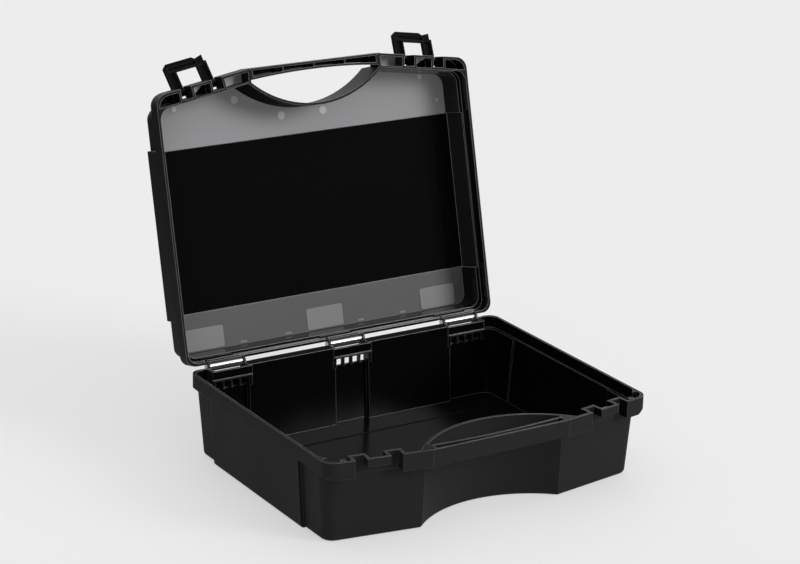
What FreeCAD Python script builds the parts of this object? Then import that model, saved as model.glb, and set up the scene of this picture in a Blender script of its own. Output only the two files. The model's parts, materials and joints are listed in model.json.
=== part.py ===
import FreeCAD, Part
import math
import os
import re
import Sketcher

# Hard tool case, standing open: a drafted base, a lid that swings on three steel rods at the back,
# and two frame latches hinged on the lid. +Y is the back, +Z is up, and the origin is the centre of
# the base's underside. Both shells are built mouth up; the lid is then turned over and hung.

# Driving dimensions in millimetres, and angles in degrees
SIZES = {
    # both shells
    "case_width": 340,
    "case_depth": 268,
    "base_height": 79.5,
    "lid_height": 37.5,
    "rim_gap": 0.4,
    "wall": 2.5,
    "back_corner_radius": 10,
    "front_corner_radius": 12,
    "corner_setback": 15,
    "base_draft": 5.3,
    "lid_draft": 3,
    "front_draft": 3,
    "base_edge_radius": 4,
    "lid_edge_radius": 3,
    # rim skirt
    "skirt_height": 16.5,
    "skirt_chamfer": 3.2,
    "seat_depth": 11.5,
    "front_shelf": 11,
    # raised side bands, and the panels between the hinge bays
    "band_front": -68,
    "band_back": 92,
    "band_rise": 3.5,
    "band_ledge": 1.6,
    "panel_rise": 0.8,
    "bay_width": 42,
    "bay_inset": 39.5,
    "bay_step": 5,
    # finger recess and handle
    "recess_radius": 106.5,
    "recess_depth": 39.5,
    "recess_draft": 3,
    "handle_width": 140,
    "handle_middle": 7.5,
    "handle_end": 11,
    "handle_height": 17,
    "handle_round": 2.5,
    "channel_wall": 2,
    "channel_depth": 13,
    "slit_width": 1,
    "slit_depth": 1.2,
    "rib_spacing": 34,
    "rib_wall": 1.6,
    # latches and their seats
    "latch_share": 0.51,
    "latch_width": 43.6,
    "latch_plate": 4.2,
    "latch_skin": 1.6,
    "latch_rim": 1.4,
    "latch_reach": 31,
    "latch_corner": 3,
    "shoulder_width": 2.2,
    "shoulder_drop": 6.4,
    "tab_width": 8,
    "tab_dip": 2.2,
    "tab_run": 3,
    "window_width": 22.4,
    "block_height": 7.7,
    "block_clearance": 0.8,
    "block_gap": 0.4,
    "plate_top": 2,
    "seat_wall": 2.2,
    "seat_clearance": 0.5,
    "pivot_depth": 5.4,
    "pivot_height": 13,
    "barrel_radius": 3.2,
    "trunnion_radius": 2,
    "trunnion_length": 1.5,
    "pin_clearance": 0.06,
    "latch_angle": 111,
    # hinges
    "hinge_setback": 2.1,
    "rod_radius": 2.5,
    "rod_length": 41,
    "lug_spacing": 35.6,
    "lug_wall": 2,
    "lug_rim": 1.7,
    "lug_drop": 9,
    "knuckle_wall": 1.7,
    "knuckle_mouth": 4.4,
    "knuckle_clearance": 0.4,
    "hinge_gap": 3.2,
    "hinge_pocket": 7,
    "hinge_pocket_height": 20,
    "window_height": 9,
    "hinge_rail": 1.2,
    "lid_angle": 104,
    # small posts in the front corners
    "post_radius": 2.6,
    "post_bore": 1.2,
    # how far a cutting solid stands out of what it cuts
    "overrun": 5,
}

doc = FreeCAD.newDocument("ToolCase")
sheet = doc.addObject("Spreadsheet::Sheet", "Sizes")
for row, (alias, size) in enumerate(SIZES.items(), start=1):
    sheet.set(f"A{row}", alias)
    sheet.set(f"B{row}", str(size))
    sheet.setAlias(f"B{row}", alias)
doc.recompute()


def bound(text):
    """Point the size names in an expression at the sheet."""
    return re.sub(r"[a-z]\w+", lambda word: "Sizes." + word[0] if word[0] in SIZES else word[0], text)


def value(text):
    """Work out an expression of size names as a number."""
    return float(sheet.evalExpression(text))


# Lines and levels that the pieces share, as expressions. Levels are above a shell's closed face.
SLOPE = "(corner_setback / (case_width - handle_width) * 2)"
SLANT = f"atan({SLOPE})"
BACK = "(case_depth / 2)"
SIDE = "(case_width / 2)"
KNEE = "(handle_width / 2)"
LATCH_X = f"(({KNEE} + {SIDE}) * latch_share)"
BAY_X = f"({SIDE} - bay_inset)"
POST_X = f"({SIDE} - front_corner_radius - wall - wall)"
HINGE_Y = f"({BACK} + hinge_setback)"
HINGE_Z = "(base_height + rim_gap / 2)"
RECESS_Y = f"(recess_depth - {BACK} - recess_radius)"


def front(across, inset):
    """Y of a line that follows the rim's front edge, a share behind it, at a distance from the middle."""
    return f"(({across} - {KNEE}) * {SLOPE} - {BACK} + {inset})"


def outline(name, corners, level):
    """A closed sketch through corners (x, y, radius), whose radius may be None for a sharp corner."""
    sketch = doc.addObject("Sketcher::SketchObject", name)
    sketch.setExpression("Placement.Base.z", bound(level))
    points = [FreeCAD.Vector(value(x), value(y), 0) for x, y, radius in corners]
    count = len(corners)
    arcs = {}
    starts, ends = list(points), list(points)
    for i, (x, y, radius) in enumerate(corners):
        if radius is None:
            continue
        before = (points[i - 1] - points[i]).normalize()
        after = (points[(i + 1) % count] - points[i]).normalize()
        half = before.getAngle(after) / 2
        run = value(radius) / math.tan(half)
        bisector = (before + after).normalize()
        middle = points[i] + bisector * (value(radius) / math.sin(half) - value(radius))
        ends[i] = points[i] + before * run
        starts[i] = points[i] + after * run
        arcs[i] = sketch.addGeometry(Part.Arc(ends[i], middle, starts[i]))
    lines = [sketch.addGeometry(Part.LineSegment(starts[i], ends[(i + 1) % count])) for i in range(count)]
    for i, (x, y, radius) in enumerate(corners):
        last, line = lines[i - 1], lines[i]
        if i in arcs:
            mark = sketch.addGeometry(Part.Point(points[i]), True)
            arc = arcs[i]
            first = 1 if sketch.getPoint(arc, 1).distanceToPoint(ends[i]) < value(radius) / 100 else 2
            sketch.addConstraint(Sketcher.Constraint("PointOnObject", mark, 1, last))
            sketch.addConstraint(Sketcher.Constraint("PointOnObject", mark, 1, line))
            sketch.addConstraint(Sketcher.Constraint("Tangent", last, 2, arc, first))
            sketch.addConstraint(Sketcher.Constraint("Tangent", line, 1, arc, 3 - first))
            size = sketch.addConstraint(Sketcher.Constraint("Radius", arc, value(radius)))
            sketch.setExpression(f"Constraints[{size}]", bound(radius))
            held = (mark, 1)
        else:
            sketch.addConstraint(Sketcher.Constraint("Coincident", last, 2, line, 1))
            held = (line, 1)
        across = sketch.addConstraint(Sketcher.Constraint("DistanceX", -1, 1, *held, points[i].x))
        sketch.setExpression(f"Constraints[{across}]", bound(x))
        along = sketch.addConstraint(Sketcher.Constraint("DistanceY", -1, 1, *held, points[i].y))
        sketch.setExpression(f"Constraints[{along}]", bound(y))
    return sketch


def add(kind, name, **links):
    """A document object with its links set."""
    item = doc.addObject(kind, name)
    for key, link in links.items():
        setattr(item, key, link)
    return item


def prism(name, sketch, height):
    """A sketch pushed up by a height."""
    solid = add("Part::Extrusion", name, Base=sketch, DirMode="Custom", Dir=(0, 0, 1), Solid=True)
    solid.setExpression("LengthFwd", bound(height))
    return solid


def loft(name, sketches):
    """A solid with straight sides through outlines at rising levels."""
    return add("Part::Loft", name, Sections=sketches, Solid=True, Ruled=True)


def box(name, x0, x1, y0, y1, z0, z1):
    """A box between two corners."""
    solid = doc.addObject("Part::Box", name)
    for side, low, high in (("Length", x0, x1), ("Width", y0, y1), ("Height", z0, z1)):
        solid.setExpression(side, bound(f"({high}) - ({low})"))
    for axis, low in (("x", x0), ("y", y0), ("z", z0)):
        solid.setExpression(f"Placement.Base.{axis}", bound(low))
    return solid


def drum(name, radius, x0, x1, y, z):
    """A cylinder along X."""
    solid = doc.addObject("Part::Cylinder", name)
    solid.setExpression("Radius", bound(radius))
    solid.setExpression("Height", bound(f"({x1}) - ({x0})"))
    solid.setExpression("Placement", bound(
        f"placement(vector({x0}; {y}; {z}); rotation(vector(0; 1; 0); 90))"))
    return solid


def post(name, radius, x, y, z0, z1):
    """A cylinder standing up."""
    solid = doc.addObject("Part::Cylinder", name)
    solid.setExpression("Radius", bound(radius))
    solid.setExpression("Height", bound(f"({z1}) - ({z0})"))
    for axis, place in (("x", x), ("y", y), ("z", z0)):
        solid.setExpression(f"Placement.Base.{axis}", bound(place))
    return solid


def fuse(name, solids):
    return add("Part::MultiFuse", name, Shapes=solids)


def cut(name, base, tools):
    tool = tools[0] if len(tools) == 1 else fuse(name + "_tools", tools)
    return add("Part::Cut", name, Base=base, Tool=tool)


def mirrored(name, solid):
    """The same solid on the other side of the case's middle plane."""
    return add("Part::Mirroring", name, Source=solid, Normal=(1, 0, 0))


def both(name, solid):
    return [solid, mirrored(name, solid)]


def rounded(name, solid, radius, wanted):
    """The solid with the edges that a test picks rounded."""
    doc.recompute()
    size = value(radius)
    edges = [(i, size, size) for i, edge in enumerate(solid.Shape.Edges, start=1) if wanted(edge)]
    return add("Part::Fillet", name, Base=solid, Edges=edges)


def case_outline(name, side, back, near, level):
    """The shell's plan, drawn in from the rim by a distance at the sides, the back and the front."""
    x = f"({SIDE} - ({side}))"
    y = f"({BACK} - ({back}))"
    corner = front(x, near)
    knee = front(KNEE, near)
    return outline(name, [
        (f"-{x}", y, "back_corner_radius"),
        (x, y, "back_corner_radius"),
        (x, corner, "front_corner_radius"),
        (KNEE, knee, None),
        (f"-{KNEE}", knee, None),
        (f"-{x}", corner, "front_corner_radius"),
    ], level)


def recess(name, extra, height):
    """The round hollow behind the handle: a steep cone that stands over the front wall."""
    lean = "(recess_draft / base_height)"
    solid = doc.addObject("Part::Cone", name)
    solid.setExpression("Radius1", bound(f"recess_radius + {extra} + {lean} * ({height} + overrun)"))
    solid.setExpression("Radius2", bound(f"recess_radius + {extra} - {lean} * overrun"))
    solid.setExpression("Height", bound(f"{height} + overrun + overrun"))
    solid.setExpression("Placement.Base.y", bound(RECESS_Y))
    solid.setExpression("Placement.Base.z", bound("-overrun"))
    return solid


def side_band(name, draft, inner, ledge, low, high):
    """A raised band on both side walls, as one block across the case, drawn in by a distance.

    The ledge draws it in at the sides alone, where the hollow of a band stops short of the seat.
    """
    levels = []
    for level, inset in ((low, draft), (high, "0")):
        x = f"({SIDE} - ({inset}) - ({inner}) - {ledge})"
        y0, y1 = f"(band_front + {inner})", f"(band_back - ({inner}))"
        levels.append(outline(f"{name}_{len(levels)}", [
            (f"-{x}", y1, None), (x, y1, None), (x, y0, None), (f"-{x}", y0, None)], level))
    return loft(name, levels)


def latch_seat(name, height, parts):
    """Places what is drawn in a latch's own frame on the rim's front edge, on both sides."""
    seat = fuse(name, parts)
    turn = f"rotation(vector(0; 0; 1); {SLANT})"
    seat.setExpression("Placement", bound(
        f"placement(vector({LATCH_X}; {front(LATCH_X, '0')}; {height}); {turn})"))
    return both(name + "_other", seat)


def hinge_panels(name, foot, height):
    """The walls between the hinge bays: what is cut from outside, and what stays inside, as solids."""
    edge = "bay_width / 2"
    outer = f"({BACK} - {foot} - bay_step - wall - overrun)"
    backs = []
    for layer, extra in (("outer", "bay_step"), ("inner", "bay_step + wall")):
        backs.append(loft(f"{name}_panel_{layer}", [
            case_outline(f"{name}_panel_{layer}_foot", foot, f"{foot} + {extra}", "0", "0"),
            case_outline(f"{name}_panel_{layer}_top", "0", f"wall + {extra}", "0", f"({height} + overrun)")]))
    gaps, walls = [], []
    for side, x0, x1 in (("left", f"{edge} - {BAY_X}", f"-{edge}"), ("right", edge, f"{BAY_X} - {edge}")):
        gaps.append(box(f"{name}_gap_{side}", x0, x1, outer, f"{BACK} + overrun", "0",
                        f"{height} - skirt_height"))
        gaps.append(box(f"{name}_lip_{side}", f"{x0} + wall", f"{x1} - wall", outer, f"{BACK} - wall", "0",
                        f"{height} - wall"))
        walls.append(box(f"{name}_wall_{side}", f"{x0} - wall", f"{x1} + wall", outer, f"{BACK} + overrun",
                         "-overrun", height))
    return cut(name + "_gaps", fuse(name + "_gap_boxes", gaps), [backs[0]]), cut(
        name + "_walls", fuse(name + "_wall_boxes", walls), [backs[1]])


def shell(name, height, draft, radius):
    """A shell with its mouth up: skirt, side bands, finger recess and the room inside."""
    skirt_low = f"({height} - skirt_height)"
    skirt_edge = f"({skirt_low} + skirt_chamfer)"
    mouth = f"({height} + overrun)"
    foot = f"(wall + {draft})"
    near_foot = "(front_shelf + front_draft)"
    # The outside: the walls with their rounded foot, the bands and the skirt
    walls = loft(name + "_outside", [
        case_outline(name + "_foot", foot, foot, near_foot, "0"),
        case_outline(name + "_top", "wall", "wall", "front_shelf", height)])
    walls = cut(name + "_hollowed", walls, [recess(name + "_recess", "0", height)])
    band = side_band(name + "_band", f"{foot} - band_rise", "0", "0", "0", skirt_edge)
    walls = rounded(name + "_foot_round", walls, radius,
                    lambda edge: edge.BoundBox.ZMax < value("wall") / 100)
    band = rounded(name + "_band_round", band, radius, lambda edge: edge.BoundBox.ZMax < value("wall") / 100
                   and edge.BoundBox.YLength > value("wall"))
    skirt_foot = loft(name + "_skirt_foot", [
        case_outline(name + "_skirt_low", "skirt_chamfer", "skirt_chamfer", "0", skirt_low),
        case_outline(name + "_skirt_edge", "0", "0", "0", skirt_edge)])
    skirt_body = prism(name + "_skirt_body", case_outline(name + "_skirt_plan", "0", "0", "0", skirt_edge),
                       "skirt_height - skirt_chamfer")
    finger_gap = add("Part::Common", name + "_finger_gap", Base=recess(name + "_recess_skirt", "0", height),
                     Tool=box(name + "_finger_width", f"-{KNEE}", KNEE, f"-{BACK} - overrun",
                              f"recess_depth + recess_draft - {BACK}", "-overrun", mouth))
    skirt = cut(name + "_skirt", fuse(name + "_skirt_block", [skirt_foot, skirt_body]), [finger_gap])
    # The inside: the storage space, the wider seat above the ledge, and the bands' hollows
    space = loft(name + "_space", [
        case_outline(name + "_space_foot", f"{foot} + wall", f"{foot} + wall", f"{near_foot} + wall", "wall"),
        case_outline(name + "_space_top", "wall + wall", "wall + wall", "front_shelf + wall", mouth)])
    band_space = side_band(name + "_band_space", f"{foot} - band_rise", "wall", "band_ledge",
                           "wall - panel_rise", f"{height} - seat_depth")
    seat = prism(name + "_seat", case_outline(
        name + "_seat_plan", "wall", "wall", "front_shelf + wall", f"({height} - seat_depth)"),
        "seat_depth + overrun")
    return fuse(name + "_solid", [walls, band, skirt]), [space, band_space, seat]


def front_room(name, height):
    """The room inside the rim's front edge, from the skirt's floor up, across the whole case."""
    full = prism(name + "_front_full", case_outline(
        name + "_front_plan", "wall", "wall", "wall", f"({height} - skirt_height + wall)"), "skirt_height")
    return add("Part::Common", name + "_front_room", Base=full, Tool=box(
        name + "_front_zone", f"-{SIDE}", SIDE, f"-{BACK}", f"front_shelf + wall + corner_setback - {BACK}",
        "0", f"{height} + overrun"))


def seat_block(name, height):
    """What stays solid round the two latch seats."""
    return latch_seat(name + "_seat_block", height, both(name + "_seat_half_other", box(
        name + "_seat_half", "0", f"{NOTCH} + seat_wall", "-overrun", "front_shelf + seat_wall",
        "-skirt_height - overrun", "overrun + overrun")))


def handle(name, height):
    """Half of the handle: a bar with an arched back, and its channel as a cutting solid."""
    low = f"({height} - handle_height)"
    bow = "((handle_width ^ 2 / 4 + (handle_end - handle_middle) ^ 2) / 2 / (handle_end - handle_middle))"
    bow_y = f"(handle_middle - {BACK} + {bow})"
    end = f"({KNEE} + wall)"
    bar = cut(name + "_bar", box(name + "_bar_block", f"-{end}", end, f"-{BACK}", f"handle_end - {BACK}",
                                 low, height),
              [post(name + "_bow", bow, "0", bow_y, f"{low} - overrun", f"{height} + overrun")])
    bar = rounded(name + "_bar_round", bar, "handle_round",
                  lambda edge: edge.BoundBox.ZMax < value(low) + value("wall") / 2
                  and edge.BoundBox.XLength > value("wall"))
    inner = f"({KNEE} - wall)"
    channel_low = f"({height} - channel_depth)"
    channel = cut(name + "_channel", box(
        name + "_channel_block", f"-{inner}", inner, f"channel_wall - {BACK}",
        f"handle_end - channel_wall - {BACK}", channel_low, f"{height} + overrun"),
        [post(name + "_channel_bow", f"{bow} + channel_wall", "0", bow_y,
              f"{channel_low} - overrun", f"{height} + overrun + overrun")])
    slits = both(name + "_slit_other", box(
        name + "_slit", f"{KNEE} - slit_width", KNEE, f"-{BACK} - overrun", f"slit_depth - {BACK}",
        "0", f"{height} + overrun"))
    return bar, channel, slits


# Places that the latch seats and the latch share, in the latch seat's own frame
BLOCK = "(window_width / 2 - block_gap)"
NOTCH = "(latch_width / 2 + seat_clearance)"
WINDOW_EDGE = "(pivot_height + rim_gap + block_height + block_clearance)"


def notches(name):
    """The two slots that a latch's arms lie in, through the whole skirt."""
    return both(name + "_notch_other", box(
        name + "_notch", BLOCK, NOTCH, "-overrun", "front_shelf", "-skirt_height - overrun", "overrun"))


def hinge_places():
    return (("left", f"-{BAY_X}"), ("middle", "0"), ("right", BAY_X))


def make_base():
    """The base with its catch blocks, hinge lugs and hinge pockets."""
    rim = "base_height"
    body, rooms = shell("base", rim, "base_draft", "base_edge_radius")
    bar, channel, slits = handle("base", rim)
    foot = "(wall + base_draft)"
    gaps, panels = hinge_panels("base", foot, rim)
    inside = cut("base_inside", fuse("base_rooms", rooms + [front_room("base", rim)]),
                 [recess("base_recess_wall", "wall", rim), panels] + seat_block("base", rim))
    # Under each catch block the skirt is open, and the block is hollow from above
    under = box("under_block", f"-{BLOCK}", BLOCK, "-overrun", "front_shelf",
                "-skirt_height - overrun", "-block_height")
    hollow = box("block_hollow", f"seat_wall - {BLOCK}", f"{BLOCK} - seat_wall", "seat_wall",
                 "front_shelf + overrun", "seat_wall - block_height", "overrun")
    seats = latch_seat("base_seat", rim, notches("base") + [under, hollow])
    added = [cut("base_tray", body, [gaps, inside]), bar]
    removed = seats + [channel] + slits
    lugs = []
    pocket_front = f"({BACK} - wall - hinge_pocket)"
    pocket_low = f"({rim} - hinge_pocket_height)"
    gap = "(lug_spacing / 2)"
    for spot, x in hinge_places():
        added.append(box(f"{spot}_hinge_box", f"{x} - bay_width / 2", f"{x} + bay_width / 2",
                         f"{pocket_front} - wall", f"{BACK} - wall", pocket_low, f"{rim} - rim_gap"))
        removed.append(box(f"{spot}_hinge_room", f"{x} - {gap}", f"{x} + {gap}", pocket_front,
                           f"{BACK} + overrun", f"{pocket_low} + window_height", f"{rim} + overrun"))
        # The middle pocket's windows show daylight, and the outer ones are blind
        window_back = f"{BACK} + overrun" if spot == "middle" else f"{BACK} - wall - wall"
        removed.append(box(f"{spot}_hinge_window", f"{x} - {gap}", f"{x} + {gap}",
                           f"{pocket_front} - wall - overrun", window_back,
                           pocket_low, f"{pocket_low} + window_height"))
        added.append(box(f"{spot}_hinge_rail", f"{x} - bay_width / 2", f"{x} + bay_width / 2",
                         f"{pocket_front} - wall - hinge_rail", f"{pocket_front} - wall / 2",
                         f"{pocket_low} + window_height + hinge_rail",
                         f"{pocket_low} + window_height + hinge_rail + hinge_rail"))
        for side, inner in (("low", f"{x} - {gap} - lug_wall"), ("high", f"{x} + {gap}")):
            name = f"{spot}_lug_{side}"
            ring = drum(name + "_ring", "rod_radius + lug_rim", inner, f"{inner} + lug_wall",
                        HINGE_Y, HINGE_Z)
            arm = box(name + "_arm", inner, f"{inner} + lug_wall", f"{BACK} - wall",
                      f"{HINGE_Y} + rod_radius + lug_rim", f"{rim} - lug_drop", HINGE_Z)
            lugs += [ring, arm]
        for count in (-1, 0, 1):
            middle = f"({x} + {count} * lug_spacing / 4)"
            lugs.append(box(f"{spot}_hinge_rib_{count + 2}", f"{middle} - rib_wall / 2",
                            f"{middle} + rib_wall / 2", f"{pocket_front} - wall / 2",
                            f"{pocket_front} + hinge_pocket / 2", pocket_low, f"{rim} - lug_drop"))
    for side in ("-1", "1"):
        spot = f"({side} * {POST_X})"
        y = f"({front(POST_X, 'front_shelf / 2')})"
        added.append(post(f"post_{side}", "post_radius", spot, y, f"{rim} - skirt_height",
                          f"{rim} - rim_gap"))
        removed.append(post(f"post_bore_{side}", "post_bore", spot, y, f"{rim} - seat_depth",
                            f"{rim} + overrun"))
    carved = cut("base_carved", fuse("base_added", added), removed)
    whole = fuse("base_whole", [carved] + lugs)
    bores = [drum(f"{spot}_bore", "rod_radius + pin_clearance", f"{x} - rod_length / 2 - overrun",
                  f"{x} + rod_length / 2 + overrun", HINGE_Y, HINGE_Z) for spot, x in hinge_places()]
    return cut("base_shell", whole, bores)


def make_lid():
    """The lid with its latch blocks and pin sockets, handle ribs and hinge knuckles, mouth up."""
    rim = "lid_height"
    body, rooms = shell("lid", rim, "lid_draft", "lid_edge_radius")
    inside = cut("lid_inside", fuse("lid_rooms", rooms), [recess("lid_recess_wall", "wall", rim)])
    bar, channel, slits = handle("lid", rim)
    # Pockets in the front rim, between a thin inner wall and the outer one
    behind = prism("lid_behind", case_outline(
        "lid_behind_plan", "-front_corner_radius - overrun", "0", "front_shelf + wall - rib_wall", "0"),
        f"{rim} + overrun + overrun")
    pockets = cut("lid_pockets", front_room("lid", rim), [behind, box(
        "lid_handle_zone", f"-{KNEE} - wall", f"{KNEE} + wall", f"-{BACK} - overrun",
        f"recess_depth - {BACK}", "0", f"{rim} + overrun + overrun")] + seat_block("lid", rim))
    hollow = box("lid_block_hollow", f"seat_wall - {BLOCK}", f"{BLOCK} - seat_wall", "seat_wall",
                 "front_shelf + wall - rib_wall", "-seat_depth", "overrun")
    reach = "(trunnion_length + pin_clearance)"
    sockets = both("socket_other", drum("socket", "trunnion_radius + pin_clearance", f"{BLOCK} - {reach}",
                                        f"{NOTCH} + {reach}", "pivot_depth", "-pivot_height"))
    seats = latch_seat("lid_seat", rim, notches("lid") + [hollow] + sockets)
    ribs = [box(f"handle_rib_{count + 2}", f"{count} * rib_spacing - rib_wall / 2",
                f"{count} * rib_spacing + rib_wall / 2", f"-{BACK} + channel_wall / 2",
                f"handle_middle - channel_wall / 2 - {BACK}", f"{rim} - handle_height + handle_round",
                f"{rim} - channel_wall") for count in (-1, 0, 1)]
    added = [cut("lid_tray", body, [inside, pockets]), bar]
    removed = seats + [channel] + slits
    # Between the outer hinges the lid's back edge stands clear of the base
    removed.append(box("back_gap", f"-{BAY_X} - bay_width / 2", f"{BAY_X} + bay_width / 2",
                       f"{BACK} - wall - overrun", f"{BACK} + overrun", f"{rim} - hinge_gap",
                       f"{rim} + overrun"))
    knuckles = []
    axis_z = f"({rim} + rim_gap / 2)"
    ring = "(rod_radius + knuckle_clearance + knuckle_wall)"
    half = "(lug_spacing / 2 - knuckle_clearance)"
    room = "(rod_length / 2 + knuckle_clearance)"
    for spot, x in hinge_places():
        removed.append(drum(f"{spot}_lid_room", f"{ring} + knuckle_clearance", f"{x} - {room}",
                            f"{x} + {room}", HINGE_Y, axis_z))
        clip = drum(f"{spot}_clip", ring, f"{x} - {half}", f"{x} + {half}", HINGE_Y, axis_z)
        root = box(f"{spot}_clip_root", f"{x} - {half}", f"{x} + {half}", f"{BACK} - wall - wall / 2",
                   HINGE_Y, f"{axis_z} - {ring} - wall", f"{axis_z} - rod_radius")
        bore = drum(f"{spot}_clip_bore", "rod_radius + knuckle_clearance", f"{x} - {room}", f"{x} + {room}",
                    HINGE_Y, axis_z)
        mouth = box(f"{spot}_clip_mouth", f"{x} - {room}", f"{x} + {room}", f"{HINGE_Y} - {ring} - overrun",
                    f"{HINGE_Y} + knuckle_mouth / 2", axis_z, f"{axis_z} + {ring} + overrun")
        knuckles.append(cut(f"{spot}_knuckle", fuse(f"{spot}_clip_block", [clip, root]), [bore, mouth]))
    carved = cut("lid_carved", fuse("lid_added", added), removed)
    return fuse("lid_shell", [carved] + ribs + knuckles)


def make_latch(name):
    """A latch: two arms that turn on moulded pins, joined by a bar with a finger tab, closed."""
    half = "(latch_width / 2)"
    pane = "(window_width / 2)"
    tab = f"({half} - shoulder_width)"
    plate = prism(name + "_plate", outline(name + "_plan", [
        (f"-{half}", "plate_top", None),
        (half, "plate_top", None),
        (half, "shoulder_drop - latch_reach", None),
        (tab, "shoulder_drop - latch_reach", None),
        (tab, "-latch_reach", None),
        (f"({tab} - tab_width)", "tab_dip - latch_reach", None),
        (f"({tab} - tab_width - tab_run)", "-latch_reach", None),
        (f"latch_corner - {half}", "-latch_reach", None),
        (f"-{half}", "latch_corner - latch_reach", None)], "0"), "latch_plate")
    webs = both(name + "_web_other", box(name + "_web", pane, half, "-barrel_radius", "plate_top",
                                         "latch_plate - pivot_depth", "latch_plate"))
    # The plate is drawn lying down, its outer face up, with the pivot below it. Each arm and the bar
    # are channels, open on the inner face, with a rim all round.
    window = box(name + "_window", f"-{pane}", pane, f"-{WINDOW_EDGE}", "overrun", "-overrun",
                 "pivot_depth + overrun + overrun")
    channels = both(name + "_arm_other", box(
        name + "_arm_channel", f"{pane} + latch_rim", f"{half} - latch_rim", f"-{WINDOW_EDGE}",
        "-barrel_radius - latch_rim", "-overrun", "latch_plate - latch_skin"))
    channels.append(box(name + "_bar_channel", f"latch_corner - {half}", f"{tab} - tab_width",
                        "latch_rim + tab_dip - latch_reach", f"-{WINDOW_EDGE} - latch_rim", "-overrun",
                        "latch_plate - latch_skin"))
    opened = cut(name + "_open", fuse(name + "_flat", [plate] + webs), [window] + channels)
    opened.setExpression("Placement", bound(
        "placement(vector(0; -pivot_depth + latch_plate; 0); rotation(vector(1; 0; 0); 90))"))
    pins = both(name + "_pin_other", drum(name + "_pin", "trunnion_radius", f"{BLOCK} - trunnion_length",
                                          f"({half} + trunnion_length)", "0", "0"))
    barrels = both(name + "_barrel_other", drum(name + "_barrel", "barrel_radius", pane, half, "0", "0"))
    return fuse(name, [opened] + pins + barrels)


def make_rod(name, x):
    """A straight hinge rod."""
    return drum(name, "rod_radius", f"{x} - rod_length / 2", f"{x} + rod_length / 2", HINGE_Y, HINGE_Z)


# The lid is turned over onto the base and then swung open, and the latches go with it
LID_SWING = (f"placement(vector(0; {HINGE_Y}; {HINGE_Z}); rotation(vector(1; 0; 0); -lid_angle)) * "
             f"placement(vector(0; -{HINGE_Y}; -{HINGE_Z}); rotation(vector(1; 0; 0); 0))")
LID_TURN = "placement(vector(0; 0; base_height + rim_gap + lid_height); rotation(vector(0; 1; 0); 180))"

base = make_base()
lid = make_lid()
lid.setExpression("Placement", bound(f"{LID_SWING} * {LID_TURN}"))
latches = []
for side, sign in (("left", "-1"), ("right", "1")):
    latch = make_latch(f"latch_{side}")
    seat = f"vector({sign} * {LATCH_X}; {front(LATCH_X, '0')}; base_height + rim_gap)"
    latch.setExpression("Placement", bound(
        f"{LID_SWING} * placement({seat}; rotation(vector(0; 0; 1); {sign} * {SLANT})) * "
        f"placement(vector(0; pivot_depth; pivot_height); rotation(vector(1; 0; 0); -latch_angle))"))
    latches.append(latch)
rods = [make_rod(f"hinge_rod_{spot}", x) for spot, x in hinge_places()]
doc.recompute()

failed = [item.Name for item in doc.Objects if {"Invalid", "Error"} & set(item.State)]
if failed:
    raise RuntimeError(f"these failed: {failed}")
os.makedirs("parts", exist_ok=True)
for item in [base, lid] + latches + rods:
    if item.Shape.isNull() or not item.Shape.isValid():
        raise RuntimeError(f"{item.Label} has no valid shape")
    print(item.Label, len(item.Shape.Solids), round(item.Shape.Volume), item.Shape.BoundBox)
for item in [base, lid] + latches + rods:
    item.Shape.exportStep(f"parts/{item.Label}.step")
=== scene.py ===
import json
import math

import bpy
import numpy as np
from mathutils import Matrix, Vector


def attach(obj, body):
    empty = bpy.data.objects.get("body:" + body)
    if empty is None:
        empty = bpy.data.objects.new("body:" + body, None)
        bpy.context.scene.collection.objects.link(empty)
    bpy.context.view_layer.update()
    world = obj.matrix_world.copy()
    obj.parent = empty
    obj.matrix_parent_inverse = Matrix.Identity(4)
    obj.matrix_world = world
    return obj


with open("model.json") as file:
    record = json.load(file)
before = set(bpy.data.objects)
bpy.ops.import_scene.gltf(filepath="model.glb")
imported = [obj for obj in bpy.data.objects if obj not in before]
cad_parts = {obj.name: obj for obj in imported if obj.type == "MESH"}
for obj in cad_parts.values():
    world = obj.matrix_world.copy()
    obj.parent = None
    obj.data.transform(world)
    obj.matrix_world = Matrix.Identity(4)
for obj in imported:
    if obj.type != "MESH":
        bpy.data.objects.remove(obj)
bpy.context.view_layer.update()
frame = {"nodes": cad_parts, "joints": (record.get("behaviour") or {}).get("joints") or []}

bl_info = {
    "name": "Hard tool case",
    "version": (1, 0, 0),
    "blender": (4, 5, 0),
    "location": "3D View > Sidebar > Tool case",
    "description": "Finishes an open hard tool case and sets up its studio",
    "category": "Object",
}

MM = 0.001

# Height of the lid's inner face at its two bands, when the lid is shut
LID_FACE = 114.9 * MM
# Height of the base's rim
RIM = 79.5 * MM
HINGE = next(joint for joint in frame["joints"] if joint["name"] == "lid_hinge")
OPEN_ANGLE = -math.radians(HINGE["range_deg"][1])

# Pitch of the mould's grain, of the waves where the wall shrank, and of the slow change in gloss
GRAIN_PITCH, WAVE_PITCH, GLOSS_PITCH = 0.35 * MM, 18 * MM, 60 * MM
# Depth of the waves and of the grain at full strength
WAVE_DEPTH, GRAIN_DEPTH = 0.08 * MM, 0.06 * MM
# The softened normal's lean, as a cosine, where the painted edge highlight begins and where it is all there
EDGE_BEGINS, EDGE_WHOLE = 0.995, 0.80
# The greatest roughness of an edge under its painted highlight
EDGE_ROUGHNESS = 0.25
# Pitch of the drawing lines on the rods, and the scale along the rod that draws them out
DRAWING_PITCH, DRAWING_STRETCH = 0.4 * MM, 0.04

# How far the gloss wanders either way, and the share of their depth that the waves show
GLOSS_SPREAD, WAVE_STRENGTH = 0.12, 0.3
# The least and greatest roughness of the rods
ROD_ROUGHNESS = (0.22, 0.38)

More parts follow.
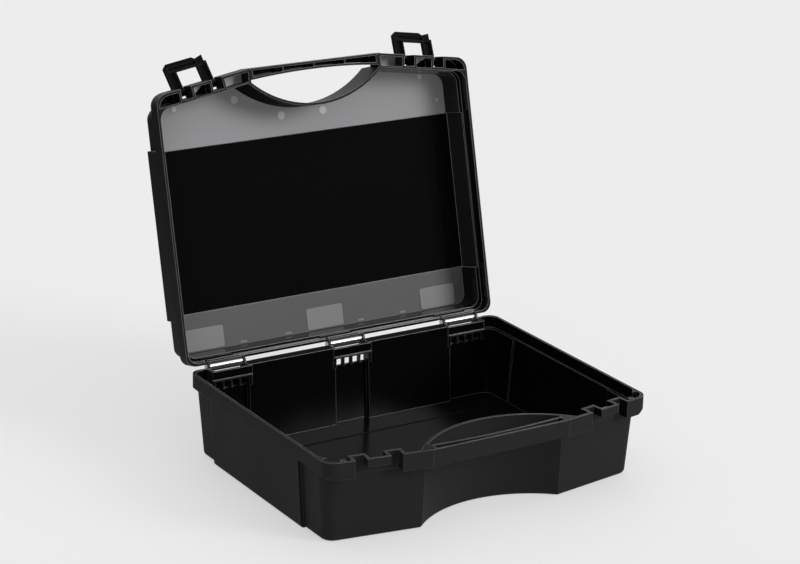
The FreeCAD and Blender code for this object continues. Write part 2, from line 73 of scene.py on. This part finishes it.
# Each surface: its roughness, its share of the full grain, and its reflection level
SATIN_RIM = (0.5, 0.2, 0.16)
SATIN_FLOOR = (0.2, 0.08, 0.06)
SATIN_LATCH = (0.3, 0.2, 0.04)
DULL_RECESS = (0.5, 0.2, 0.03)
COARSE = (0.6, 0.8, 0.4)
# Pocket floors and round marks, both pale; the pocket floors' pale colour is a painted pool of light
PALE_PATCH = (0.5, 0.4, 0.4)
# The grained and polished faces take their roughness from the panel's settings
GRAINED, POLISHED = (0.5, 0.27), (0.02, 0.4)
# How far in from an edge the edge colour reaches on the latches and on the round marks, in millimetres
LATCH_EDGE, MARK_EDGE = 0.25, 0.5

# A face squares up to a direction above the first cosine, and lies along it below the second
SQUARE_ON, ALONG = 0.97, 0.3
# Which faces of the base are its floor: under these heights, by their normals and by their place
FLOOR_FILLET, FLOOR_TOP = 10 * MM, 2.6 * MM
# What counts as a rim face, measured down from the rim
RIM_SLACK = 1 * MM
# Where the band at the latches begins, the band at the hinges ends and the front pockets begin,
# measured from the hinge axis
UPPER_BAND_FROM, LOWER_BAND_TO, POCKETS_FROM = 199 * MM, 49 * MM, 255 * MM
# How deep under the lid's rim its pocket floors and its inner face lie at least
POCKET_DEPTH, INNER_FACE_DEPTH = 8 * MM, 25 * MM
# Half widths: pockets stand outside the first, the finger recess inside the second
POCKETS_OUTSIDE, RECESS_INSIDE = 72 * MM, 78 * MM
# Inside faces look towards these points: one over the base's mouth, one under the shut lid
OVER_BASE, UNDER_LID = (0, 0, RIM + 30 * MM), (0, 0, 50 * MM)

# Where the marks lie on the shut lid's inner face, in millimetres: how far back the rows of pads
# and tabs are, how wide and deep each mark is, and the places across
PAD_ROW, PAD_SIZE, PAD_PLACES = 114.7, (40.5, 21), (-131.5, 0, 130)
TAB_ROW, TAB_SIZE, TAB_PLACES = 124, (7, 2), (-91, -42, 39.5, 88)
# The round marks' places and how wide they are
EJECTOR_MARKS = (
    ((-136, -103.6), 6),
    ((-72, -105.4), 9),
    ((-23.4, -84.9), 9),
    ((22.7, -84.8), 9),
    ((136, -104.5), 6),
    ((153.2, -79.8), 5),
)
# How each kind of mark rises: how far its outline is drawn in, and how far it stands off the face
RAISED_STEPS = ((0, -0.3), (0, 0.25), (0.15, 0.35))
RING_STEPS = ((0, -0.3), (0, 0.3), (0.35, 0.3), (0.6, 0.06))

# Half the side of the studio's floor, in metres as are the distances below
FLOOR_REACH = 12.0
# Gloss mirrors this share of the lit floor, near the case and far from it
LIT_NEAR, LIT_FAR = 0.3, 0.85
LIT_FULL, LIT_LEFT = 0.5, 0.03
# Strength of the room's own light
ROOM_LIGHT = 0.03
# Each soft box: the direction of its middle, the angles where it is full and ends, its strength
SOFT_BOXES = (
    ((0.15, 0.1, 1.0), 25, 75, 1.08),
    ((0.25, 1.0, 0.25), 15, 42, 0.9),
    ((-0.70, -0.70, 0.20), 6, 14, 2.0),
)
# The key lamp: its strength, how wide it looks in degrees, and the direction that it shines from
KEY_ENERGY, KEY_ANGLE, KEY_FROM = 1.5, 25, (0.60, -0.68, 0.38)
# The camera's sensor, in millimetres
SENSOR_WIDTH = 36.0
# The middle of the rim's plane, which the camera's place is measured from
AIM = (0, 0.0086, 0.0795)


def lid_to_world(points):
    """Points given on the shut lid, turned about the hinge axis to where the lid stands open."""
    _, hinge_y, hinge_z = HINGE["pos_m"]
    across, along, up = np.asarray(points, dtype=float).T
    along, up = along - hinge_y, up - hinge_z
    cos, sin = math.cos(OPEN_ANGLE), math.sin(OPEN_ANGLE)
    return np.stack([across, hinge_y + along * cos - up * sin, hinge_z + along * sin + up * cos], axis=-1)


def linear(hex_colour):
    """An sRGB hex colour such as 2a2a2b as linear red, green, blue and alpha."""
    channels = np.array([int(hex_colour[i:i + 2], 16) for i in (0, 2, 4)]) / 255
    low = channels / 12.92
    high = ((channels + 0.055) / 1.055) ** 2.4
    return (*np.where(channels <= 0.04045, low, high).tolist(), 1.0)


class Nodes:
    """A material's or the world's node tree, with short ways to add and link nodes."""

    def __init__(self, owner):
        owner.use_nodes = True
        self.tree = owner.node_tree
        self.tree.nodes.clear()

    def add(self, kind, inputs=None, **settings):
        """One node with its settings; each input is a number, a colour or another node's output."""
        node = self.tree.nodes.new(kind)
        for name, setting in settings.items():
            setattr(node, name, setting)
        for name, value in (inputs or {}).items():
            if isinstance(value, bpy.types.NodeSocket):
                self.tree.links.new(value, node.inputs[name])
            else:
                node.inputs[name].default_value = value
        return node

    def math(self, operation, first, second):
        """The result of a math node on two numbers or outputs."""
        return self.add("ShaderNodeMath", {0: first, 1: second}, operation=operation).outputs[0]


def add_object(name, data):
    """A new object in the scene that shows this mesh, lamp or camera."""
    item = bpy.data.objects.new(name, data)
    bpy.context.collection.objects.link(item)
    return item


def moulded_polypropylene(name, colour, edge_highlight_colour, surface, edge_reach=0.9):
    """Injection-moulded polypropylene, dyed black right through.

    The mould's spark-eroded faces leave a fine even grain that spreads every highlight; its
    polished faces leave a near mirror with slow waves, where the thick wall shrank. As far in
    from the sharp edges as edge_reach, in millimetres, the colour turns to the edge colour,
    mostly a paler one painted as the highlight that the rounded edges catch, and the edges are
    made smoother. surface holds the roughness, the share of the full grain and the reflection level.
    """
    rough, grain, specular = surface
    material = bpy.data.materials.new(name)
    nodes = Nodes(material)
    place = nodes.add("ShaderNodeTexCoord")
    pits = nodes.add("ShaderNodeTexNoise", {"Vector": place.outputs["Object"], "Scale": 1 / GRAIN_PITCH,
                                            "Detail": 2.0, "Roughness": 0.6})
    waves = nodes.add("ShaderNodeTexNoise", {"Vector": place.outputs["Object"], "Scale": 1 / WAVE_PITCH,
                                             "Detail": 1.0})
    flow = nodes.add("ShaderNodeTexNoise", {"Vector": place.outputs["Object"], "Scale": 1 / GLOSS_PITCH,
                                            "Detail": 3.0})
    # How far the softened normal leans away from the face's own shows how near an edge is
    soft = nodes.add("ShaderNodeBevel", {"Radius": edge_reach * MM}, samples=6)
    face = nodes.add("ShaderNodeNewGeometry")
    lean = nodes.add("ShaderNodeVectorMath", {0: soft.outputs["Normal"], 1: face.outputs["Normal"]},
                     operation="DOT_PRODUCT")
    edge = nodes.add("ShaderNodeMapRange", {"Value": lean.outputs["Value"], "From Min": EDGE_BEGINS,
                                            "From Max": EDGE_WHOLE, "To Max": 1.0}).outputs["Result"]
    # Painted highlight: near an edge the colour turns to the edge colour, mostly paler, standing in for the
    # light that a rounded edge catches
    colour_with_painted_edge_highlight = nodes.add("ShaderNodeMix", {"Factor": edge, 6: linear(colour), 7: linear(edge_highlight_colour)},
                     data_type="RGBA").outputs[2]
    uneven = nodes.add("ShaderNodeMapRange", {
        "Value": flow.outputs["Fac"], "To Min": rough * (1 - GLOSS_SPREAD),
        "To Max": rough * (1 + GLOSS_SPREAD)}).outputs["Result"]
    roughness = nodes.add("ShaderNodeMix", {"Factor": edge, "A": uneven,
                                            "B": min(rough, EDGE_ROUGHNESS)}).outputs[0]
    wavy = nodes.add("ShaderNodeBump", {"Height": waves.outputs["Fac"], "Strength": WAVE_STRENGTH,
                                        "Distance": WAVE_DEPTH, "Normal": soft.outputs["Normal"]})
    bump = nodes.add("ShaderNodeBump", {"Height": pits.outputs["Fac"], "Strength": grain,
                                        "Distance": GRAIN_DEPTH, "Normal": wavy.outputs["Normal"]})
    shader = nodes.add("ShaderNodeBsdfPrincipled", {
        "Base Color": colour_with_painted_edge_highlight, "Roughness": roughness, "IOR": 1.49, "Specular IOR Level": specular,
        "Normal": bump.outputs["Normal"]})
    nodes.add("ShaderNodeOutputMaterial", {"Surface": shader.outputs["BSDF"]})
    return material


def zinc_plated_steel(name, colour):
    """Drawn steel rod, bright zinc plated: a pale metal with faint drawing lines along its length."""
    material = bpy.data.materials.new(name)
    nodes = Nodes(material)
    place = nodes.add("ShaderNodeTexCoord")
    stretched = nodes.add("ShaderNodeMapping", {"Vector": place.outputs["Object"],
                                                "Scale": (DRAWING_STRETCH, 1, 1)})
    lines = nodes.add("ShaderNodeTexNoise", {"Vector": stretched.outputs["Vector"],
                                             "Scale": 1 / DRAWING_PITCH, "Detail": 2.0})
    rough = nodes.add("ShaderNodeMapRange", {"Value": lines.outputs["Fac"],
                                              "To Min": ROD_ROUGHNESS[0], "To Max": ROD_ROUGHNESS[1]})
    shader = nodes.add("ShaderNodeBsdfPrincipled", {"Base Color": linear(colour), "Metallic": 1.0,
                                                    "Roughness": rough.outputs["Result"]})
    nodes.add("ShaderNodeOutputMaterial", {"Surface": shader.outputs["BSDF"]})
    return material


def paint(node_name, materials, choose=None):
    """Gives a CAD node its materials; the rule turns faces' centres and normals into material numbers."""
    mesh = frame["nodes"][node_name].data
    mesh.materials.clear()
    for material in materials:
        mesh.materials.append(material)
    if choose is None:
        return
    centres, normals = np.empty(len(mesh.polygons) * 3), np.empty(len(mesh.polygons) * 3)
    mesh.polygons.foreach_get("center", centres)
    mesh.polygons.foreach_get("normal", normals)
    numbers = choose(centres.reshape(-1, 3), normals.reshape(-1, 3)).astype(np.int32)
    mesh.polygons.foreach_set("material_index", numbers)


def looks_at(point, centres, normals):
    """True for the faces that look towards a point."""
    return np.einsum("ij,ij->i", np.asarray(point) - centres, normals) > 0


def base_rule(centres, normals):
    """Material numbers on the base: 0 outside, 1 inside, 2 the floor, 3 the rim."""
    numbers = looks_at(OVER_BASE, centres, normals).astype(int)
    height, level = centres[:, 2], normals[:, 2] > SQUARE_ON
    numbers[level & (height < FLOOR_FILLET)] = 2
    numbers[(numbers == 1) & (height < FLOOR_TOP)] = 2
    numbers[level & (height > RIM - RIM_SLACK)] = 3
    return numbers


def lid_rule(centres, normals):
    """Material numbers on the lid.

    0 outside, 1 inside, 2 the band at the latches, 3 the band at the hinges, 4 the floors of the
    front pockets, 5 the rim, 6 the wall round the finger recess.
    """
    numbers = looks_at(lid_to_world([UNDER_LID])[0], centres, normals).astype(int)
    # Out of the open lid's mouth, and from its hinges to its handle
    out = np.array((0, math.sin(OPEN_ANGLE), -math.cos(OPEN_ANGLE)))
    along = np.array((0, -math.cos(OPEN_ANGLE), -math.sin(OPEN_ANGLE)))
    away = centres - np.asarray(HINGE["pos_m"])
    reach, height = away @ along, away @ out
    facing, across = normals @ out, np.abs(centres[:, 0])
    inner_face = (facing > SQUARE_ON) & (height < -INNER_FACE_DEPTH)
    numbers[inner_face & (reach > UPPER_BAND_FROM)] = 2
    numbers[inner_face & (reach < LOWER_BAND_TO)] = 3
    numbers[(facing > SQUARE_ON) & (height < -POCKET_DEPTH)
            & (reach > POCKETS_FROM) & (across > POCKETS_OUTSIDE)] = 4
    numbers[(facing > SQUARE_ON) & (height > -RIM_SLACK)] = 5
    numbers[(numbers == 1) & (np.abs(facing) < ALONG)
            & (across < RECESS_INSIDE) & (reach > UPPER_BAND_FROM)] = 6
    return numbers


def rounded_rectangle(width, depth, order=14, count=96):
    """A closed outline: a superellipse, whose high order makes its sides nearly straight."""
    turn = np.linspace(0, 2 * math.pi, count, endpoint=False)
    cos, sin = np.cos(turn), np.sin(turn)
    return np.stack([np.sign(cos) * np.abs(cos) ** (2 / order) * width / 2,
                     np.sign(sin) * np.abs(sin) ** (2 / order) * depth / 2], axis=-1)


def circle(across, count=48):
    """A closed round outline."""
    turn = np.linspace(0, 2 * math.pi, count, endpoint=False)
    return np.stack([np.cos(turn), np.sin(turn)], axis=-1) * across / 2


def raised_marks(name, outlines, steps, material):
    """Low marks moulded on the lid's inner face, as one mesh.

    Each mark is a grid: one ring of points per step, the outline drawn in by the step's first
    number and standing off the face by its second, in mm, closed by a point at both ends.
    outlines gives each mark's middle on the shut lid and its outline.
    """
    points, faces = [], []
    for (across, along), outline in outlines:
        count, first = len(outline), sum(len(part) for part in points)
        reach = np.linalg.norm(outline, axis=1, keepdims=True)
        rings = [np.column_stack([outline * (1 - inset / reach), np.full(count, height)])
                 for inset, height in steps]
        ends = np.array([[0, 0, steps[0][1]], [0, 0, steps[-1][1]]])
        mark = np.concatenate(rings + [ends]) * MM
        points.append(np.column_stack([mark[:, 0] + across * MM, mark[:, 1] + along * MM,
                                       LID_FACE - mark[:, 2]]))
        this = np.arange(count)
        after = np.roll(this, -1)
        for ring in range(len(steps) - 1):
            low, high = first + ring * count, first + (ring + 1) * count
            faces += np.column_stack([low + this, high + this, high + after, low + after]).tolist()
        bottom, top = first + len(steps) * count, first + len(steps) * count + 1
        last = first + (len(steps) - 1) * count
        faces += np.column_stack([first + this, first + after, np.full(count, bottom)]).tolist()
        faces += np.column_stack([last + after, last + this, np.full(count, top)]).tolist()
    mesh = bpy.data.meshes.new(name)
    mesh.from_pydata(lid_to_world(np.concatenate(points)).tolist(), [], faces)
    mesh.materials.append(material)
    piece = add_object(name, mesh)
    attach(piece, "lid")


class CaseFinish(bpy.types.PropertyGroup):
    """Colours and roughness of the mouldings and the rods."""

    shell_colour: bpy.props.StringProperty(
        name="Shell colour", description="Dyed polypropylene of both shells, sRGB hex", default="0c0c0d")
    outer_colour: bpy.props.StringProperty(
        name="Outer colour", description="Grained outer faces, paler by their grain, sRGB hex",
        default="1d1d1e")
    # Painted sheen: the band is black plastic, and this grey stands in for the light that its matt grain
    # spreads
    upper_band_sheen_colour: bpy.props.StringProperty(
        name="Upper band", description="Eroded band inside the lid, at the latches, sRGB hex",
        default="9c9c9e")
    # Painted sheen, darker than on the band at the latches
    lower_band_sheen_colour: bpy.props.StringProperty(
        name="Lower band", description="Eroded band inside the lid, at the hinges, sRGB hex",
        default="606062")
    # Painted sheen on the pads, which are black plastic
    pad_sheen_colour: bpy.props.StringProperty(
        name="Pad colour", description="Matt pads on the lower band, sRGB hex", default="8c8c8e")
    # Painted highlight on the grained edges of both shells
    edge_highlight_colour: bpy.props.StringProperty(
        name="Edge colour", description="Grained edges of the shells, painted pale as a highlight, sRGB hex",
        default="4c4c4e")
    # Painted highlight on the edges of the rims and of the lid's inside
    gleam_colour: bpy.props.StringProperty(
        name="Gleam colour", description="Edges of the rims and inside the lid, painted pale as a highlight, sRGB hex",
        default="b0b0b2")
    # Dimmer painted highlight on the edges of the latches and of the base's inside, where the base's inside
    # lies in shade
    dull_gleam_colour: bpy.props.StringProperty(
        name="Dull gleam colour", description="Edges of the latches and inside the base, sRGB hex",
        default="767678")
    # Painted highlight on the edges of the lid's upper band and its pads
    band_edge_highlight_colour: bpy.props.StringProperty(
        name="Band edge highlight", description="Edges of the lid's upper band and its pads, sRGB hex",
        default="8a8a8c")
    # Dimmer painted highlight on the edges of the lid's lower band and of the pocket floors
    dim_edge_highlight_colour: bpy.props.StringProperty(
        name="Dim edge highlight", description="Edges of the lid's lower band and pocket floors, sRGB hex",
        default="707072")
    # Painted highlight on the edges of the base's floor, barely paler than the shell
    floor_edge_highlight_colour: bpy.props.StringProperty(
        name="Floor edge colour", description="Edges of the base's floor, sRGB hex", default="101011")
    mark_edge_colour: bpy.props.StringProperty(
        name="Mark edge colour", description="Edges of the round ejector marks, sRGB hex",
        default="3a3a3c")
    # Painted pool of light on the pocket floors, which are black plastic
    pocket_light_colour: bpy.props.StringProperty(
        name="Pocket colour", description="Painted pool of light on the floors of the lid's front pockets, sRGB hex",
        default="c4c4c6")
    mark_colour: bpy.props.StringProperty(
        name="Mark colour", description="Round ejector marks on the upper band, sRGB hex", default="c0c0c2")
    latch_colour: bpy.props.StringProperty(
        name="Latch colour", description="Dyed polypropylene of the latches, sRGB hex", default="0b0b0c")
    rod_colour: bpy.props.StringProperty(
        name="Rod colour", description="Zinc plating of the hinge rods, sRGB hex", default="f2f3f5")
    grained_roughness: bpy.props.FloatProperty(
        name="Grained roughness", description="Roughness of the outer faces", default=0.58,
        min=0.0, max=1.0, subtype="FACTOR")
    polished_roughness: bpy.props.FloatProperty(
        name="Polished roughness", description="Roughness of the inner faces", default=0.06,
        min=0.0, max=1.0, subtype="FACTOR")


class StudioSizes(bpy.types.PropertyGroup):
    """The camera and the floor."""

    lens: bpy.props.FloatProperty(
        name="Lens", description="Focal length on a 36 mm sensor, in millimetres", default=112.23)
    azimuth: bpy.props.FloatProperty(
        name="Azimuth", description="Turn of the camera round the case", default=math.radians(-32.5),
        subtype="ANGLE", unit="ROTATION")
    elevation: bpy.props.FloatProperty(
        name="Elevation", description="Height of the camera above the horizon", default=math.radians(18.71),
        subtype="ANGLE", unit="ROTATION")
    roll: bpy.props.FloatProperty(
        name="Roll", description="Tilt of the camera about its own axis", default=math.radians(1.47),
        subtype="ANGLE", unit="ROTATION")
    distance: bpy.props.FloatProperty(
        name="Distance", description="From the camera to the plane through the rim's centre", default=2.297,
        subtype="DISTANCE", unit="LENGTH")
    slide: bpy.props.FloatVectorProperty(
        name="Slide", description="How far the camera stands right of and above that centre",
        default=(-0.015, 0.093), size=2, subtype="XYZ_LENGTH", unit="LENGTH")
    floor_colour: bpy.props.StringProperty(
        name="Floor colour", description="Pale paper of the floor, sRGB hex", default="eeeeee")
    room_colour: bpy.props.StringProperty(
        name="Room colour", description="What gloss mirrors beyond the lit paper, sRGB hex",
        default="101010")
    evenness: bpy.props.FloatProperty(
        name="Evenness", description="Share of the floor's own colour that shows in any light",
        default=0.6, min=0.0, max=1.0, subtype="FACTOR")


class CASE_OT_shell_finish(bpy.types.Operator):
    """Black polypropylene on both shells, grained outside and polished inside"""

    bl_idname = "case.shell_finish"
    bl_label = "Finish the shells"

    def execute(self, context):
        finish = context.scene.case_finish
        black, gleam = finish.shell_colour, finish.gleam_colour
        polish = (finish.polished_roughness, *POLISHED)
        grained = moulded_polypropylene(
            "Spark-eroded black polypropylene", finish.outer_colour, finish.edge_highlight_colour,
            (finish.grained_roughness, *GRAINED))
        # One polished finish in two copies: the base's copy has a dimmer painted edge highlight, as painted
        # shade for the base's inside, which lies in shade
        polished = moulded_polypropylene("Polished black polypropylene, lid", black, gleam, polish)
        polished_in_shade = moulded_polypropylene(
            "Polished black polypropylene, base", black, finish.dull_gleam_colour, polish)
        rim_finish = moulded_polypropylene(
            "Satin black polypropylene, rims", black, gleam, SATIN_RIM)
        satin = moulded_polypropylene(
            "Satin black polypropylene, floor", black, finish.floor_edge_highlight_colour, SATIN_FLOOR)
        # The bands are black plastic: their grey colours are painted sheen, darker at the hinge end
        upper = moulded_polypropylene(
            "Coarse eroded polypropylene with painted sheen, latch end", finish.upper_band_sheen_colour,
            finish.band_edge_highlight_colour, COARSE)
        lower = moulded_polypropylene(
            "Coarse eroded polypropylene with painted sheen, hinge end", finish.lower_band_sheen_colour,
            finish.dim_edge_highlight_colour, COARSE)
        # The pocket floors are black plastic: their pale colour is a painted pool of light
        pocket = moulded_polypropylene(
            "Polypropylene with a painted pool of light, pocket floors", finish.pocket_light_colour, finish.dim_edge_highlight_colour, PALE_PATCH)
        recess_wall = moulded_polypropylene(
            "Dull black polypropylene, finger recess", black, gleam, DULL_RECESS)
        paint("base_shell", [grained, polished_in_shade, satin, rim_finish], base_rule)
        paint("lid_shell", [grained, polished, upper, lower, pocket, rim_finish, recess_wall], lid_rule)
        return {"FINISHED"}


class CASE_OT_lid_marks(bpy.types.Operator):
    """The low pads, tabs and round ejector marks moulded on the lid's inner face"""

    bl_idname = "case.lid_marks"
    bl_label = "Add the lid's marks"

    def execute(self, context):
        finish = context.scene.case_finish
        # The pads are black plastic: their grey colour is painted sheen
        pale = moulded_polypropylene(
            "Coarse eroded polypropylene with painted sheen, pads", finish.pad_sheen_colour, finish.band_edge_highlight_colour,
            COARSE)
        for name, row, size, places in (("lid_pads", PAD_ROW, PAD_SIZE, PAD_PLACES),
                                        ("lid_tabs", TAB_ROW, TAB_SIZE, TAB_PLACES)):
            raised_marks(name, [((across, row), rounded_rectangle(*size)) for across in places],
                         RAISED_STEPS, pale)
        # The round marks are pale, with darker edges
        bright = moulded_polypropylene(
            "Pale polypropylene, ejector marks", finish.mark_colour, finish.mark_edge_colour,
            PALE_PATCH, edge_reach=MARK_EDGE)
        raised_marks("lid_ejector_marks", [(place, circle(across)) for place, across in EJECTOR_MARKS],
                     RING_STEPS, bright)
        return {"FINISHED"}


class CASE_OT_latch_finish(bpy.types.Operator):
    """Black polypropylene on the two latches"""

    bl_idname = "case.latch_finish"
    bl_label = "Finish the latches"

    def execute(self, context):
        finish = context.scene.case_finish
        material = moulded_polypropylene(
            "Satin black polypropylene, latch", finish.latch_colour, finish.dull_gleam_colour,
            SATIN_LATCH, edge_reach=LATCH_EDGE)
        for name in ("latch_left", "latch_right"):
            paint(name, [material])
        return {"FINISHED"}


class CASE_OT_rod_finish(bpy.types.Operator):
    """Zinc plated steel on the three hinge rods"""

    bl_idname = "case.rod_finish"
    bl_label = "Finish the hinge rods"

    def execute(self, context):
        material = zinc_plated_steel("Zinc plated steel rod", context.scene.case_finish.rod_colour)
        for name in ("hinge_rod_left", "hinge_rod_middle", "hinge_rod_right"):
            paint(name, [material])
        return {"FINISHED"}


class CASE_OT_studio(bpy.types.Operator):
    """A pale floor, soft boxes, a key lamp and the camera at the photograph's angle"""

    bl_idname = "case.studio"
    bl_label = "Set up the studio"

    def execute(self, context):
        studio = context.scene.case_studio
        self.floor(studio)
        self.sky(context)
        self.key_lamp()
        self.camera(context, studio)
        context.scene.view_settings.view_transform = "Standard"
        return {"FINISHED"}

    def floor(self, studio):
        """A flat square sheet of paper, seamless with the background."""
        corners = [(across * FLOOR_REACH, along * FLOOR_REACH, 0)
                   for across, along in ((-1, -1), (1, -1), (1, 1), (-1, 1))]
        mesh = bpy.data.meshes.new("studio_floor")
        mesh.from_pydata(corners, [], [(0, 1, 2, 3)])
        material = bpy.data.materials.new("Matt white paper")
        nodes = Nodes(material)
        paper = nodes.add("ShaderNodeBsdfPrincipled", {
            "Base Color": linear(studio.floor_colour), "Roughness": 0.9, "Specular IOR Level": 0.1})
        even = nodes.add("ShaderNodeEmission", {"Color": linear(studio.floor_colour), "Strength": 1.0})
        ray = nodes.add("ShaderNodeLightPath")
        seen = nodes.math("MAXIMUM", ray.outputs["Is Camera Ray"], ray.outputs["Is Glossy Ray"])
        seen = nodes.math("MAXIMUM", seen, ray.outputs["Is Transmission Ray"])
        share = nodes.math("MULTIPLY", seen, studio.evenness)
        mixed = nodes.add("ShaderNodeMixShader", {0: share, 1: paper.outputs["BSDF"],
                                                  2: even.outputs["Emission"]})
        # The lit sheet ends near the case: further off, gloss mirrors the dim room instead
        place = nodes.add("ShaderNodeTexCoord")
        away = nodes.add("ShaderNodeVectorMath", {0: place.outputs["Object"]}, operation="LENGTH")
        lit = nodes.add("ShaderNodeMapRange", {
            "Value": away.outputs["Value"], "From Min": LIT_NEAR, "From Max": LIT_FAR,
            "To Min": LIT_FULL, "To Max": LIT_LEFT}, interpolation_type="SMOOTHSTEP").outputs["Result"]
        other = nodes.math("SUBTRACT", 1.0, ray.outputs["Is Glossy Ray"])
        whole_share = nodes.math("MAXIMUM", lit, other)
        dark = nodes.add("ShaderNodeBsdfDiffuse", {"Color": linear(studio.room_colour)})
        whole = nodes.add("ShaderNodeMixShader", {0: whole_share, 1: dark.outputs["BSDF"],
                                                  2: mixed.outputs["Shader"]})
        nodes.add("ShaderNodeOutputMaterial", {"Surface": whole.outputs["Shader"]})
        mesh.materials.append(material)
        add_object("studio_floor", mesh)

    def sky(self, context):
        """A dim room with soft boxes: one overhead, the pale backdrop, and one at the front left."""
        world = bpy.data.worlds.new("Studio surround")
        context.scene.world = world
        nodes = Nodes(world)
        place = nodes.add("ShaderNodeTexCoord")
        total = ROOM_LIGHT
        for towards, full, end, strength in SOFT_BOXES:
            middle = Vector(towards).normalized()
            near = nodes.add("ShaderNodeVectorMath", {0: place.outputs["Generated"], 1: tuple(middle)},
                             operation="DOT_PRODUCT")
            glow = nodes.add("ShaderNodeMapRange", {
                "Value": near.outputs["Value"], "From Min": math.cos(math.radians(end)),
                "From Max": math.cos(math.radians(full)), "To Max": strength},
                interpolation_type="SMOOTHSTEP")
            total = nodes.math("ADD", total, glow.outputs["Result"])
        shader = nodes.add("ShaderNodeBackground", {"Color": (1, 1, 1, 1), "Strength": total})
        nodes.add("ShaderNodeOutputWorld", {"Surface": shader.outputs["Background"]})

    def key_lamp(self):
        """A broad soft key from the front right."""
        light = bpy.data.lights.new("soft_key", "SUN")
        light.energy = KEY_ENERGY
        light.angle = math.radians(KEY_ANGLE)
        lamp = add_object("soft_key", light)
        lamp.rotation_euler = Vector(KEY_FROM).to_track_quat("Z", "Y").to_euler()

    def camera(self, context, studio):
        """A long lens at the photograph's angle, aimed at the middle of the rim."""
        turn, tilt, roll = studio.azimuth, studio.elevation, studio.roll
        back = Vector((math.sin(turn) * math.cos(tilt), -math.cos(turn) * math.cos(tilt), math.sin(tilt)))
        level = (-back).cross(Vector((0, 0, 1))).normalized()
        above = level.cross(-back)
        right = math.cos(roll) * level + math.sin(roll) * above
        up = -math.sin(roll) * level + math.cos(roll) * above
        place = Vector(AIM) + studio.slide[0] * right + studio.slide[1] * up + studio.distance * back
        lens = bpy.data.cameras.new("camera")
        lens.lens = studio.lens
        lens.sensor_width = SENSOR_WIDTH
        camera = add_object("camera", lens)
        camera.matrix_world = Matrix((
            (right.x, up.x, back.x, place.x),
            (right.y, up.y, back.y, place.y),
            (right.z, up.z, back.z, place.z),
            (0, 0, 0, 1)))
        context.scene.camera = camera


OPERATORS = (
    CASE_OT_shell_finish,
    CASE_OT_lid_marks,
    CASE_OT_latch_finish,
    CASE_OT_rod_finish,
    CASE_OT_studio,
)


class CASE_PT_panel(bpy.types.Panel):
    """Lists the case's pieces and its studio in the sidebar"""

    bl_idname = "CASE_PT_panel"
    bl_label = "Tool case"
    bl_space_type = "VIEW_3D"
    bl_region_type = "UI"
    bl_category = "Tool case"

    def draw(self, context):
        for operator in OPERATORS:
            self.layout.operator(operator.bl_idname)


CLASSES = (CaseFinish, StudioSizes) + OPERATORS + (CASE_PT_panel,)


def register():
    for item in CLASSES:
        bpy.utils.register_class(item)
    bpy.types.Scene.case_finish = bpy.props.PointerProperty(type=CaseFinish)
    bpy.types.Scene.case_studio = bpy.props.PointerProperty(type=StudioSizes)


def unregister():
    del bpy.types.Scene.case_studio
    del bpy.types.Scene.case_finish
    for item in reversed(CLASSES):
        bpy.utils.unregister_class(item)


def main():
    register()
    for operator in OPERATORS:
        group, name = operator.bl_idname.split(".")
        getattr(getattr(bpy.ops, group), name)()


if __name__ == "__main__":
    main()
